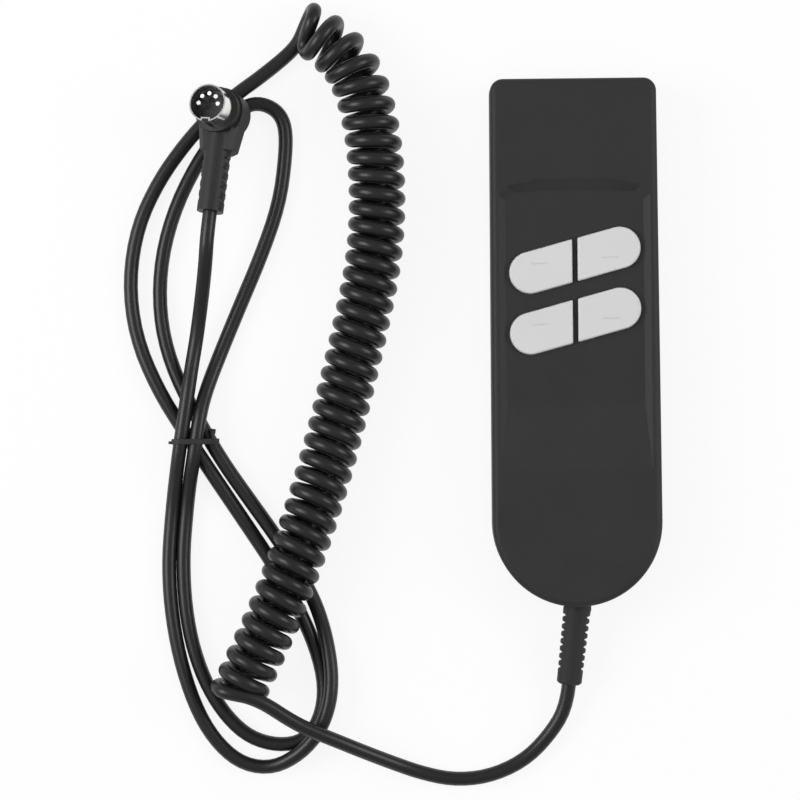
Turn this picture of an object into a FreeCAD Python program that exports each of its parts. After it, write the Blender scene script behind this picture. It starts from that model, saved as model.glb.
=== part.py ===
import FreeCAD, Part
import math
import os

import Sketcher
from FreeCAD import Placement, Rotation, Vector

# Wired handset for a motor-driven chair or bed, on a curly cord with a round five-pin plug.
# The handset lies on its back: +X to the right, +Y to its top end, +Z out of the key face.
# All sizes are millimetres and degrees.

SIZES = {
    # Case
    "case_length": 181.8,
    "end_radius": 29.2,
    "top_half_width": 28.6,
    "corner_radius": 4.5,
    "case_height": 22.2,
    "parting_height": 10.0,
    "wall": 2.2,
    "floor_thickness": 2.2,
    "roof_thickness": 2.2,
    "front_edge_radius": 2.2,
    "back_edge_radius": 4.0,
    "seam_chamfer": 0.25,
    "lap_width": 1.1,
    "lap_depth": 1.6,
    "lap_clearance": 0.1,
    # Shallow panel round the keys, between the side rails
    "panel_depth": 1.4,
    "panel_top": 52.2,
    "panel_top_slope": 4.2,
    "panel_arch": 2.4,
    "panel_floor_arch": 0.4,
    "panel_arch_half_width": 12.0,
    "panel_corner": 3.0,
    "panel_foot": 22.0,
    "panel_foot_slope": 22.0,
    "rail_width": 2.5,
    "rail_slope": 2.4,
    # Keys
    "upper_row": 28.3,
    "row_spacing": 20.9,
    "key_radius": 7.2,
    "key_cap_centre": 15.95,
    "key_tilt": 15.0,
    "key_bar": 0.9,
    "key_stand": 1.8,
    "key_clearance": 0.25,
    "key_edge_radius": 0.8,
    "flange_width": 1.0,
    "flange_thickness": 1.0,
    "flange_clearance": 0.1,
    "stem_diameter": 4.0,
    "mark_length": 5.2,
    "mark_width": 0.6,
    "mark_point": 0.2,
    "mark_relief": 0.25,
    "mark_offset": 2.4,
    # Switches
    "switch_length": 12.8,
    "switch_width": 5.8,
    "switch_height": 6.5,
    "plunger_diameter": 2.0,
    "plunger_clearance": 0.15,
    "plunger_stand": 1.0,
    "plunger_depth": 1.4,
    "plunger_travel_room": 1.1,
    "mount_hole_diameter": 2.0,
    "mount_hole_spacing": 6.5,
    "mount_hole_height": 1.9,
    "terminal_diameter": 0.9,
    "terminal_pitch": 5.08,
    "terminal_length": 3.2,
    # Circuit board and its connector
    "board_height": 4.2,
    "board_thickness": 1.6,
    "board_half_width": 21.0,
    "board_top": 46.0,
    "board_foot": 24.0,
    "board_screw_inset": 3.5,
    "board_hole_clearance": 0.2,
    "board_boss_diameter": 5.5,
    "board_screw_diameter": 2.0,
    "board_screw_length": 3.4,
    "board_head_diameter": 4.0,
    "board_head_height": 1.3,
    "connector_width": 15.0,
    "connector_depth": 6.0,
    "connector_height": 5.2,
    # Case screws
    "screw_diameter": 2.9,
    "screw_length": 13.0,
    "screw_head_diameter": 5.6,
    "screw_head_height": 2.0,
    "screw_recess": 1.0,
    "drive_length_share": 0.6,
    "drive_width_share": 0.16,
    "drive_depth_share": 0.55,
    "screw_clearance": 0.15,
    "front_boss_diameter": 7.5,
    "rear_boss_diameter": 9.5,
    "upper_screw_inset": 14.0,
    "upper_screw_side": 9.2,
    "lower_screw_drop": 6.0,
    "lower_screw_side": 16.0,
    # Cord and the strain relief in the case's round end
    "cord_diameter": 5.0,
    "coil_diameter": 18.8,
    "core_diameter": 1.0,
    "core_pitch": 2.5,
    "core_ring": 1.4,
    "sheath_inside": 16.0,
    "relief_neck_diameter": 7.6,
    "relief_clearance": 0.15,
    "relief_flange_diameter": 12.5,
    "relief_flange_thickness": 2.5,
    "relief_collar": 1.8,
    "relief_root_diameter": 9.6,
    "relief_end_diameter": 8.7,
    "relief_length": 27.5,
    "relief_lean": 6.4,
    "relief_droop": 8.0,
    "relief_lip": 1.8,
    "relief_lip_chamfer": 0.6,
    "relief_spine": 7.0,
    "relief_notch": 1.1,
    "relief_notch_flare": 0.35,
    "relief_notch_pitch": 2.6,
    "relief_notch_count": 8,
    "relief_first_notch": 3.2,
    # Plug, in its own frame: +Z out of the shell, +X along the neck to the cord
    "plug_x": -120.7,
    "plug_y": 80.4,
    "plug_z": 14.2,
    "plug_heading": -97.5,
    "plug_pitch": 9.5,
    "plug_roll": 19.5,
    "head_radius": 8.5,
    "head_back": 7.0,
    "head_front": 6.5,
    "head_edge_radius": 2.5,
    "head_collar_radius": 7.9,
    "head_collar_height": 3.3,
    "shoulder_start": 1.5,
    "shoulder_length": 13.2,
    "shoulder_root_half": 8.1,
    "shoulder_end_half": 6.1,
    "shoulder_front": 3.6,
    "shoulder_back": 5.6,
    "shoulder_tip": 1.1,
    "shoulder_cut": 1.9,
    "neck_radius": 4.85,
    "neck_end_radius": 4.6,
    "neck_length": 34.8,
    "neck_spine": 7.2,
    "neck_notch": 1.3,
    "neck_notch_flare": 0.55,
    "neck_notch_pitch": 3.5,
    "neck_notch_count": 5,
    "neck_first_notch": 15.9,
    "shell_radius": 6.6,
    "shell_thickness": 0.5,
    "shell_height": 8.5,
    "keyway_width": 2.4,
    "keyway_depth": 1.0,
    "insert_height": 1.7,
    "insert_clearance": 0.1,
    "pin_diameter": 1.45,
    "pin_circle": 3.5,
    "pin_below_rim": 0.8,
    "pin_clearance": 0.05,
    # Twist tie
    "tie_width": 1.6,
    "tie_thickness": 0.45,
    "tie_slack": 0.7,
    "tie_place": -33.7,
    "tie_tail": 5.0,
    "tie_tail_angle": 19.0,
}

# Routes of the cord's centre line, from the handset to the plug.
LEAD_ROUTE = [
    (-3.04, -117.98, 6.17), (-3.96, -126.17, 5.01), (-9.4, -135.4, 3.3), (-18.2, -144.6, 2.55),
    (-30.4, -150.2, 2.55), (-42.9, -151.4, 2.55), (-54.4, -148.9, 2.55), (-64.8, -144.9, 5),
    (-75.1, -140.4, 10.2), (-84.7, -136.1, 13), (-94.3, -130.8, 14.4), (-102.8, -125.7, 17.4),
    (-110.6, -122.1, 20.6),
]

COIL_ROUTE = [
    (-92.1, 107.7, 9.6), (-81.1, 102.4, 9.6), (-73.2, 91.2, 9.6), (-68.9, 73.8, 9.6),
    (-67.4, 53, 9.6), (-68.7, 30.9, 9.6), (-73.5, 8.1, 9.6), (-79.2, -14.7, 9.6),
    (-85.4, -38.1, 10.6), (-92.5, -60.8, 13.8), (-101.7, -85.5, 15), (-109.8, -103.4, 14.8),
    (-115.9, -118.5, 14.6),
]

LOOP_ROUTE = [
    (-91.6, 110.2, 15.8), (-97.6, 102.4, 10.8), (-104.8, 95, 5.2), (-114.5, 89.2, 2.55),
    (-124.7, 81.3, 2.55), (-134.4, 70.8, 2.55), (-143.9, 57.7, 2.55), (-151.4, 41.8, 2.55),
    (-154.4, 22.7, 2.55), (-152.2, 3.5, 2.55), (-144.7, -14.6, 3.75), (-135.4, -29.7, 3.75),
    (-125.9, -44.4, 3.75), (-115.3, -60.5, 2.55), (-105.1, -76, 2.55), (-96.5, -91.4, 2.55),
    (-90.4, -105.7, 2.55), (-87.6, -118.9, 2.55), (-89.7, -130.4, 2.55), (-95.7, -137.5, 2.55),
    (-104.7, -138.7, 2.55), (-114.4, -135.7, 2.55), (-122.3, -128.3, 2.55), (-128.8, -117.8, 2.55),
    (-133.4, -104.5, 2.55), (-135.8, -89.2, 2.55), (-136.3, -72.5, 2.55), (-134.9, -57.2, 2.55),
    (-133.7, -48.1, 4.8), (-131.8, -38.3, 9.1), (-129.7, -23.8, 9.1), (-127.6, -14.8, 5.6),
    (-123.4, -3.4, 2.55), (-116.2, 13.6, 2.55), (-108, 32.3, 2.55), (-101.6, 50.3, 2.55),
    (-99.3, 67.7, 2.55), (-99.4, 76.7, 2.55), (-101.9, 81.7, 2.55), (-106.8, 84.5, 2.55),
    (-112.1, 84.4, 2.55), (-116.4, 80.7, 2.55), (-121.5, 75, 2.55), (-128.7, 66.8, 2.55),
    (-138.1, 49, 2.55), (-143.4, 29.9, 2.55), (-143.9, 10.4, 2.55), (-139.8, -7, 2.55),
    (-131.2, -24.5, 3.75), (-122.7, -39.6, 3.75), (-112.5, -54.3, 2.55), (-101.9, -69.4, 2.55),
    (-93.3, -83.7, 2.55), (-89.1, -93.8, 3.6), (-86.5, -104.1, 6.4), (-85.2, -114.8, 7.6),
    (-86.2, -124.8, 7.8), (-90, -134.2, 7.8), (-97, -141.8, 6.2), (-106.6, -146.7, 2.55),
    (-117, -145, 2.55), (-125.6, -137.6, 2.55), (-132.4, -126.4, 2.55), (-137.8, -110, 2.55),
    (-140.9, -92.6, 2.55), (-141.8, -75.2, 2.55), (-140.3, -57.8, 2.55), (-138.9, -46.7, 5),
    (-137, -34.1, 9.1), (-134, -15.5, 9.1), (-132.7, -6.8, 7.3), (-131.2, 1.5, 6.9),
    (-129.8, 10.1, 9), (-128.3, 19.7, 13.4), (-127, 29.2, 18.6), (-126.24, 38.35, 21.29),
    (-125.19, 46.35, 19.94),
]

# Where the twist tie goes round the four strands, as x and z, with room for the slanting ones.
TIE_STRANDS = [
    (-133.8, 3.75),
    (-125.9, 3.75),
    (-131.0, 9.1),
    (-136.8, 9.1),
]

os.makedirs("parts", exist_ok=True)
doc = FreeCAD.newDocument("Handset")
sheet = doc.addObject("Spreadsheet::Sheet", "Sizes")
for row, (alias, value) in enumerate(SIZES.items(), start=1):
    sheet.set(f"A{row}", str(value))
    sheet.setAlias(f"A{row}", alias)
doc.recompute()

subparts = []


def size(alias):
    """Value of one cell of the sheet."""
    return float(getattr(sheet, alias))


def worth(expression):
    """Value of an expression on the sheet's cells."""
    return float(sheet.evalExpression(expression.replace("Sizes.", "")))


def named(thing, label):
    """Give a finished sub-part its name and list it."""
    thing.Label = label
    subparts.append(thing)
    return thing


def new_body(label):
    """Empty body of one sub-part."""
    return named(doc.addObject("PartDesign::Body", label), label)


def new_sketch(body, name, role="XY_Plane", lift="0", shift="0", along="0", turn=None):
    """Sketch on one of the body's planes, moved along it and off it by expressions."""
    sketch = body.newObject("Sketcher::SketchObject", name)
    plane = [item for item in body.Origin.OriginFeatures if item.Role == role][0]
    sketch.AttachmentSupport = [(plane, "")]
    sketch.MapMode = "FlatFace"
    if turn is not None:
        sketch.AttachmentOffset = Placement(Vector(), turn)
    sketch.setExpression("AttachmentOffset.Base.x", shift)
    sketch.setExpression("AttachmentOffset.Base.y", along)
    sketch.setExpression("AttachmentOffset.Base.z", lift)
    return sketch


def tie_down(sketch, kind, geometry, point, expression):
    """Hold one coordinate of a point of the sketch to an expression."""
    constraint = Sketcher.Constraint(kind, -1, 1, geometry, point, worth(expression))
    index = sketch.addConstraint(constraint)
    sketch.setExpression(f"Constraints[{index}]", expression)


def draw_outline(sketch, corners, arcs=None):
    """Closed outline through corners; arcs run anticlockwise about a centre with one known coordinate."""
    arcs = arcs or {}
    places = [(worth(across), worth(up)) for across, up in corners]
    first = sketch.GeometryCount
    count = len(corners)
    for edge in range(count):
        start = Vector(*places[edge], 0)
        end = Vector(*places[(edge + 1) % count], 0)
        if edge not in arcs:
            sketch.addGeometry(Part.LineSegment(start, end), False)
            continue
        axis, expression = arcs[edge]
        known = worth(expression)
        if axis == "y":
            rest = (start.y - known) ** 2 - (end.y - known) ** 2
            centre = Vector((start.x ** 2 - end.x ** 2 + rest) / (2 * (start.x - end.x)), known, 0)
        else:
            rest = (start.x - known) ** 2 - (end.x - known) ** 2
            centre = Vector(known, (start.y ** 2 - end.y ** 2 + rest) / (2 * (start.y - end.y)), 0)
        begin = math.atan2(start.y - centre.y, start.x - centre.x)
        finish = math.atan2(end.y - centre.y, end.x - centre.x)
        if finish <= begin:
            finish += 2 * math.pi
        circle = Part.Circle(centre, Vector(0, 0, 1), (start - centre).Length)
        sketch.addGeometry(Part.ArcOfCircle(circle, begin, finish), False)
    for edge in range(count):
        following = first + (edge + 1) % count
        sketch.addConstraint(Sketcher.Constraint("Coincident", first + edge, 2, following, 1))
    for edge, (across, up) in enumerate(corners):
        tie_down(sketch, "DistanceX", first + edge, 1, across)
        tie_down(sketch, "DistanceY", first + edge, 1, up)
    for edge, (axis, expression) in arcs.items():
        tie_down(sketch, "DistanceX" if axis == "x" else "DistanceY", first + edge, 3, expression)


def draw_circle(sketch, across, up, diameter):
    """Circle with its centre and diameter held by expressions."""
    centre = Vector(worth(across), worth(up), 0)
    index = sketch.addGeometry(Part.Circle(centre, Vector(0, 0, 1), worth(diameter) / 2), False)
    tie_down(sketch, "DistanceX", index, 3, across)
    tie_down(sketch, "DistanceY", index, 3, up)
    constraint = sketch.addConstraint(Sketcher.Constraint("Diameter", index, worth(diameter)))
    sketch.setExpression(f"Constraints[{constraint}]", diameter)


def draw_rectangle(sketch, left, bottom, right, top):
    """Rectangle between two corners given by expressions."""
    draw_outline(sketch, [(left, bottom), (right, bottom), (right, top), (left, top)])


def pad(body, sketch, length, reversed_way=False):
    """Pad a sketch by an expression."""
    feature = body.newObject("PartDesign::Pad", sketch.Name + "Pad")
    feature.Profile = sketch
    feature.setExpression("Length", length)
    feature.Reversed = reversed_way
    doc.recompute()
    return feature


def pocket(body, sketch, length=None, reversed_way=False, both_ways=False):
    """Pocket a sketch, by an expression or right through, and see that it cuts."""
    before = body.Shape.Volume
    feature = body.newObject("PartDesign::Pocket", sketch.Name + "Pocket")
    feature.Profile = sketch
    feature.Reversed = reversed_way
    feature.Midplane = both_ways
    if length is None:
        feature.Type = "ThroughAll"
    else:
        feature.setExpression("Length", length)
    doc.recompute()
    if not body.Shape.Volume < before:
        raise RuntimeError(f"{feature.Name} cuts nothing")
    return feature


def revolve(body, sketch, axis="H_Axis"):
    """Full turn of a half section about the sketch's own axis."""
    feature = body.newObject("PartDesign::Revolution", sketch.Name + "Revolution")
    feature.Profile = sketch
    feature.ReferenceAxis = (sketch, [axis])
    feature.Angle = 360
    doc.recompute()
    return feature


def edges_where(shape, test):
    """Names of the edges that pass a test on their box."""
    return [f"Edge{number}" for number, edge in enumerate(shape.Edges, start=1) if test(edge.BoundBox)]


def level(height):
    """Test for edges that lie flat at one height."""
    return lambda box: abs(box.ZMin - height) < 0.001 and abs(box.ZMax - height) < 0.001


def dress(body, base, kind, edges, amount_name, amount):
    """Fillet or chamfer edges of a feature."""
    feature = body.newObject("PartDesign::" + kind, base.Name + kind)
    feature.Base = (base, edges)
    feature.setExpression(amount_name, amount)
    doc.recompute()
    return feature


def repeat_along(body, feature, sketch, pitch, count):
    """Copies of a feature along the sketch's first axis."""
    pattern = body.newObject("PartDesign::LinearPattern", feature.Name + "Pattern")
    pattern.Originals = [feature]
    pattern.Direction = (sketch, ["H_Axis"])
    pattern.setExpression("Length", f"{pitch} * ({count} - 1)")
    pattern.setExpression("Occurrences", count)
    body.Tip = pattern
    doc.recompute()
    return pattern


def feature_of(label, shape, place=None):
    """Sub-part made of a finished shape."""
    feature = doc.addObject("Part::Feature", label)
    feature.Shape = shape
    if place is not None:
        feature.Placement = place
    return named(feature, label)


# Heights that follow from the sheet
ROOF = "Sizes.case_height - Sizes.panel_depth - Sizes.roof_thickness"
KEY_TOP = "Sizes.case_height - Sizes.panel_depth + Sizes.key_stand"
FLANGE_TOP = f"{ROOF} - Sizes.flange_clearance"
BOARD_FACE = "Sizes.board_height + Sizes.board_thickness"
SWITCH_FACE = f"{BOARD_FACE} + Sizes.switch_height"
PLUNGER_TIP = f"{SWITCH_FACE} + Sizes.plunger_stand"
KEY_MIDDLE = "(Sizes.key_bar + Sizes.key_cap_centre + Sizes.key_radius) / 2"
END_CENTRE = "Sizes.end_radius - Sizes.case_length / 2"

ROWS = {"upper": "Sizes.upper_row", "lower": "Sizes.upper_row - Sizes.row_spacing"}
SIDES = {"right": 0.0, "left": 180.0}

# The relief's inner flange bears on the curved wall at its own rim, deeper than the wall's middle
INNER_RADIUS = "(Sizes.end_radius - Sizes.wall)"
FLANGE_RADIUS = "(Sizes.relief_flange_diameter / 2)"
FLANGE_START = (f"Sizes.end_radius - sqrt({INNER_RADIUS} ^ 2 - {FLANGE_RADIUS} ^ 2)"
                " + Sizes.relief_clearance")
FLANGE_END = f"{FLANGE_START} + Sizes.relief_flange_thickness"


def draw_case(sketch, inset="0"):
    """Case outline seen from above, drawn in by an inset."""
    wide = f"Sizes.end_radius - ({inset})"
    narrow = f"Sizes.top_half_width - ({inset})"
    top = f"Sizes.case_length / 2 - ({inset})"
    corner_x = "Sizes.top_half_width - Sizes.corner_radius"
    corner_y = "Sizes.case_length / 2 - Sizes.corner_radius"
    corners = [
        (f"-({wide})", END_CENTRE),
        (wide, END_CENTRE),
        (narrow, corner_y),
        (corner_x, top),
        (f"-({corner_x})", top),
        (f"-({narrow})", corner_y),
    ]
    arcs = {0: ("y", END_CENTRE), 2: ("x", corner_x), 4: ("x", f"-({corner_x})")}
    draw_outline(sketch, corners, arcs)


def draw_half_pill(sketch, radius, bar):
    """Half of a slanted pill: round outer end, inner side parallel to the case's long axis."""
    slant = f"({bar}) / cos(Sizes.key_tilt)"
    lean = f"({radius}) * tan(Sizes.key_tilt)"
    corners = [
        (f"{slant} - {lean}", f"-({radius})"),
        ("Sizes.key_cap_centre", f"-({radius})"),
        ("Sizes.key_cap_centre", radius),
        (f"{slant} + {lean}", radius),
    ]
    draw_outline(sketch, corners, {1: ("x", "Sizes.key_cap_centre")})


def draw_panel(sketch, half_width, top, arch, foot):
    """Panel outline with an arched top edge and cut corners."""
    inner = f"{half_width} - Sizes.panel_corner"
    brow = f"{top} - {arch}"
    corners = [
        (f"-({half_width})", f"-({foot})"),
        (half_width, f"-({foot})"),
        (half_width, f"{brow} - Sizes.panel_corner"),
        (inner, brow),
        ("Sizes.panel_arch_half_width", top),
        ("-Sizes.panel_arch_half_width", top),
        (f"-({inner})", brow),
        (f"-({half_width})", f"{brow} - Sizes.panel_corner"),
    ]
    draw_outline(sketch, corners)


def screw_points():
    """Places of the four case screws."""
    upper_x = "Sizes.top_half_width - Sizes.upper_screw_side"
    upper_y = "Sizes.case_length / 2 - Sizes.upper_screw_inset"
    lower_y = f"{END_CENTRE} - Sizes.lower_screw_drop"
    points = []
    for sign in ("", "-"):
        points.append((f"{sign}({upper_x})", upper_y))
        points.append((f"{sign}Sizes.lower_screw_side", lower_y))
    return points


def board_points():
    """Places of the four board screws."""
    across = "Sizes.board_half_width - Sizes.board_screw_inset"
    top = "Sizes.board_top - Sizes.board_screw_inset"
    foot = "-(Sizes.board_foot - Sizes.board_screw_inset)"
    return [(f"{sign}({across})", up) for sign in ("", "-") for up in (top, foot)]


def relief_hole(body):
    """Round hole for the strain relief's neck through the case's round end."""
    sketch = new_sketch(body, body.Label + "_relief_hole", "XZ_Plane", lift="Sizes.case_length / 2")
    draw_circle(sketch, "0", "Sizes.parting_height",
                "Sizes.relief_neck_diameter + 2 * Sizes.relief_clearance")
    pocket(body, sketch, "4 * Sizes.wall", both_ways=True)


def bosses(body, name, points, diameter, lift, length, reversed_way=False):
    """Round bosses at a list of points."""
    sketch = new_sketch(body, name, lift=lift)
    for across, up in points:
        draw_circle(sketch, across, up, diameter)
    pad(body, sketch, length, reversed_way)


def bores(body, name, points, diameter, lift, length, reversed_way=False):
    """Round bores at a list of points."""
    sketch = new_sketch(body, name, lift=lift)
    for across, up in points:
        draw_circle(sketch, across, up, diameter)
    pocket(body, sketch, length, reversed_way)


# Front shell: rails, key panel, four key windows, screw bosses and the outer half of the lap joint
front = new_body("front_shell")
outline = new_sketch(front, "front_outline", lift="Sizes.parting_height")
draw_case(outline)
block = pad(front, outline, "Sizes.case_height - Sizes.parting_height")
top_edges = edges_where(block.Shape, level(size("case_height")))
rounded = dress(front, block, "Fillet", top_edges, "Radius", "Sizes.front_edge_radius")
seam_edges = edges_where(rounded.Shape, level(size("parting_height")))
dress(front, rounded, "Chamfer", seam_edges, "Size", "Sizes.seam_chamfer")

floor_half = "Sizes.top_half_width - Sizes.rail_width - Sizes.rail_slope"
panel_floor = new_sketch(front, "panel_floor", lift="Sizes.case_height - Sizes.panel_depth")
draw_panel(panel_floor, floor_half, "Sizes.panel_top", "Sizes.panel_floor_arch", "Sizes.panel_foot")
panel_face = new_sketch(front, "panel_face", lift="Sizes.case_height")
draw_panel(panel_face, "Sizes.top_half_width - Sizes.rail_width",
           "Sizes.panel_top + Sizes.panel_top_slope", "Sizes.panel_arch",
           "Sizes.panel_foot + Sizes.panel_foot_slope")
doc.recompute()
before_panel = front.Shape.Volume
panel = front.newObject("PartDesign::SubtractiveLoft", "key_panel")
panel.Profile = panel_floor
panel.Sections = [panel_face]
panel.Ruled = True
doc.recompute()
if not front.Shape.Volume < before_panel:
    raise RuntimeError("key_panel cuts nothing")

cavity = new_sketch(front, "front_cavity", lift="Sizes.parting_height")
draw_case(cavity, "Sizes.wall")
pocket(front, cavity, f"{ROOF} - Sizes.parting_height", reversed_way=True)
lap = new_sketch(front, "front_lap", lift="Sizes.parting_height")
draw_case(lap, "Sizes.wall - Sizes.lap_width")
pocket(front, lap, "Sizes.lap_depth", reversed_way=True)
bosses(front, "front_bosses", screw_points(), "Sizes.front_boss_diameter", ROOF,
       f"{ROOF} - Sizes.parting_height", reversed_way=True)
bores(front, "front_pilots", screw_points(), "Sizes.screw_diameter + 2 * Sizes.screw_clearance",
      "Sizes.parting_height",
      "Sizes.screw_recess + Sizes.screw_head_height + Sizes.screw_length"
      " - Sizes.parting_height + Sizes.screw_clearance", reversed_way=True)
for row, row_place in ROWS.items():
    for side, turn in SIDES.items():
        spin = Rotation(Vector(0, 0, 1), size("key_tilt") + turn)
        window = new_sketch(front, f"{row}_{side}_window", lift=ROOF, along=row_place, turn=spin)
        draw_half_pill(window, "Sizes.key_radius + Sizes.key_clearance",
                       "Sizes.key_bar - Sizes.key_clearance")
        pocket(front, window, reversed_way=True)
relief_hole(front)

# Rear shell: tongue of the lap joint, screw and board bosses, countersunk from the back
rear = new_body("rear_shell")
outline = new_sketch(rear, "rear_outline")
draw_case(outline)
block = pad(rear, outline, "Sizes.parting_height")
back_edges = edges_where(block.Shape, level(0.0))
rounded = dress(rear, block, "Fillet", back_edges, "Radius", "Sizes.back_edge_radius")
seam_edges = edges_where(rounded.Shape, level(size("parting_height")))
dress(rear, rounded, "Chamfer", seam_edges, "Size", "Sizes.seam_chamfer")
cavity = new_sketch(rear, "rear_cavity", lift="Sizes.parting_height")
draw_case(cavity, "Sizes.wall")
pocket(rear, cavity, "Sizes.parting_height - Sizes.floor_thickness")
tongue = new_sketch(rear, "rear_tongue", lift="Sizes.parting_height")
draw_case(tongue, "Sizes.wall - Sizes.lap_width + Sizes.lap_clearance")
draw_case(tongue, "Sizes.wall")
pad(rear, tongue, "Sizes.lap_depth - Sizes.lap_clearance")
bosses(rear, "rear_bosses", screw_points(), "Sizes.rear_boss_diameter", "Sizes.floor_thickness",
       "Sizes.parting_height - Sizes.floor_thickness")
bores(rear, "rear_bores", screw_points(), "Sizes.screw_diameter + 2 * Sizes.screw_clearance",
      "Sizes.parting_height", "Sizes.parting_height")
bores(rear, "rear_recesses", screw_points(),
      "Sizes.screw_head_diameter + 2 * Sizes.screw_clearance", "0",
      "Sizes.screw_recess + Sizes.screw_head_height", reversed_way=True)
bosses(rear, "board_bosses", board_points(), "Sizes.board_boss_diameter", "Sizes.floor_thickness",
       "Sizes.board_height - Sizes.floor_thickness")
bores(rear, "board_pilots", board_points(),
      "Sizes.board_screw_diameter + Sizes.board_hole_clearance / 2", "Sizes.board_height",
      "Sizes.board_height - Sizes.floor_thickness")
relief_hole(rear)


def make_key(row, side):
    """One key: half-pill cap, retaining flange, stem and a tactile mark."""
    key = new_body(f"{row}_{side}_key")
    name = key.Label
    key.setExpression("Placement.Base.y", ROWS[row])
    key.Placement.Rotation = Rotation(Vector(0, 0, 1), size("key_tilt") + SIDES[side])
    cap = new_sketch(key, name + "_cap", lift=FLANGE_TOP)
    draw_half_pill(cap, "Sizes.key_radius", "Sizes.key_bar")
    cap_pad = pad(key, cap, f"{KEY_TOP} - ({FLANGE_TOP})")
    rim = edges_where(cap_pad.Shape, level(worth(KEY_TOP)))
    dress(key, cap_pad, "Fillet", rim, "Radius", "Sizes.key_edge_radius")
    flange = new_sketch(key, name + "_flange", lift=FLANGE_TOP)
    draw_half_pill(flange, "Sizes.key_radius + Sizes.flange_width", "Sizes.key_bar")
    pad(key, flange, "Sizes.flange_thickness", reversed_way=True)
    stem = new_sketch(key, name + "_stem", lift=PLUNGER_TIP)
    draw_circle(stem, KEY_MIDDLE, "0", "Sizes.stem_diameter")
    pad(key, stem, f"{FLANGE_TOP} - ({PLUNGER_TIP})")
    level_turn = Rotation(Vector(0, 0, 1), -size("key_tilt"))
    mark = new_sketch(key, name + "_mark", lift=KEY_TOP, shift=KEY_MIDDLE,
                      along="-Sizes.mark_offset", turn=level_turn)
    draw_outline(mark, [
        ("-Sizes.mark_length / 2", "-Sizes.mark_point / 2"),
        ("Sizes.mark_length / 2", "-Sizes.mark_width / 2"),
        ("Sizes.mark_length / 2", "Sizes.mark_width / 2"),
        ("-Sizes.mark_length / 2", "Sizes.mark_point / 2"),
    ])
    if side == "left":
        pad(key, mark, "Sizes.mark_relief")
    else:
        pocket(key, mark, "Sizes.mark_relief")


def key_frame(row, side, across=0.0, up=0.0, height=0.0):
    """Place in a key's own slanted frame."""
    turn = Rotation(Vector(0, 0, 1), size("key_tilt") + SIDES[side])
    return Placement(Vector(0, worth(ROWS[row]), 0), turn) * Placement(
        Vector(across, up, height), Rotation())


KEYS = [(row, side) for row in ROWS for side in SIDES]
for row, side in KEYS:
    make_key(row, side)
    plunger = doc.addObject("Part::Cylinder", f"{row}_{side}_plunger")
    plunger.setExpression("Radius", "Sizes.plunger_diameter / 2")
    plunger.setExpression("Height", "Sizes.plunger_stand + Sizes.plunger_depth")
    plunger.Placement = key_frame(row, side, worth(KEY_MIDDLE), 0,
                                  worth(SWITCH_FACE) - size("plunger_depth"))
    named(plunger, f"{row}_{side}_plunger")

# Switch: one master body, placed under each key
master = doc.addObject("PartDesign::Body", "switch_master")
base = new_sketch(master, "switch_base", lift=BOARD_FACE)
draw_rectangle(base, "-Sizes.switch_length / 2", "-Sizes.switch_width / 2",
               "Sizes.switch_length / 2", "Sizes.switch_width / 2")
pad(master, base, "Sizes.switch_height")
well = new_sketch(master, "plunger_well", lift=SWITCH_FACE)
draw_circle(well, "0", "0", "Sizes.plunger_diameter + 2 * Sizes.plunger_clearance")
pocket(master, well, "Sizes.plunger_depth + Sizes.plunger_travel_room")
mounts = new_sketch(master, "switch_mounts", "XZ_Plane")
for sign in ("", "-"):
    draw_circle(mounts, f"{sign}Sizes.mount_hole_spacing / 2",
                f"{BOARD_FACE} + Sizes.mount_hole_height", "Sizes.mount_hole_diameter")
pocket(master, mounts, both_ways=True)


def at_each_key(shape):
    """Copies of a shape, one under the middle of each key."""
    copies = []
    for row, side in KEYS:
        copy = shape.copy()
        copy.Placement = key_frame(row, side, worth(KEY_MIDDLE)) * copy.Placement
        copies.append(copy)
    return copies


feature_of("switch_cases", Part.makeCompound(at_each_key(master.Shape)))
terminals = []
for step in (-1, 0, 1):
    foot = Vector(step * size("terminal_pitch"), 0, worth(BOARD_FACE) - size("terminal_length"))
    terminals.append(Part.makeCylinder(size("terminal_diameter") / 2, size("terminal_length"), foot))
terminal_rows = [solid for shape in terminals for solid in at_each_key(shape)]
feature_of("switch_terminals", Part.makeCompound(terminal_rows))

# Circuit board, with a hole for each terminal and each screw
board = new_body("circuit_board")
plate = new_sketch(board, "board_outline", lift="Sizes.board_height")
draw_rectangle(plate, "-Sizes.board_half_width", "-Sizes.board_foot",
               "Sizes.board_half_width", "Sizes.board_top")
pad(board, plate, "Sizes.board_thickness")
bores(board, "board_holes", board_points(),
      "Sizes.board_screw_diameter + 2 * Sizes.board_hole_clearance", BOARD_FACE,
      "Sizes.board_thickness")
for row, row_place in ROWS.items():
    for side, turn in SIDES.items():
        spin = Rotation(Vector(0, 0, 1), size("key_tilt") + turn)
        holes = new_sketch(board, f"{row}_{side}_holes", lift=BOARD_FACE, along=row_place, turn=spin)
        for step in (-1, 0, 1):
            draw_circle(holes, f"{KEY_MIDDLE} + {step} * Sizes.terminal_pitch", "0",
                        "Sizes.terminal_diameter + 2 * Sizes.plunger_clearance")
        pocket(board, holes, "Sizes.board_thickness")


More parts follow.
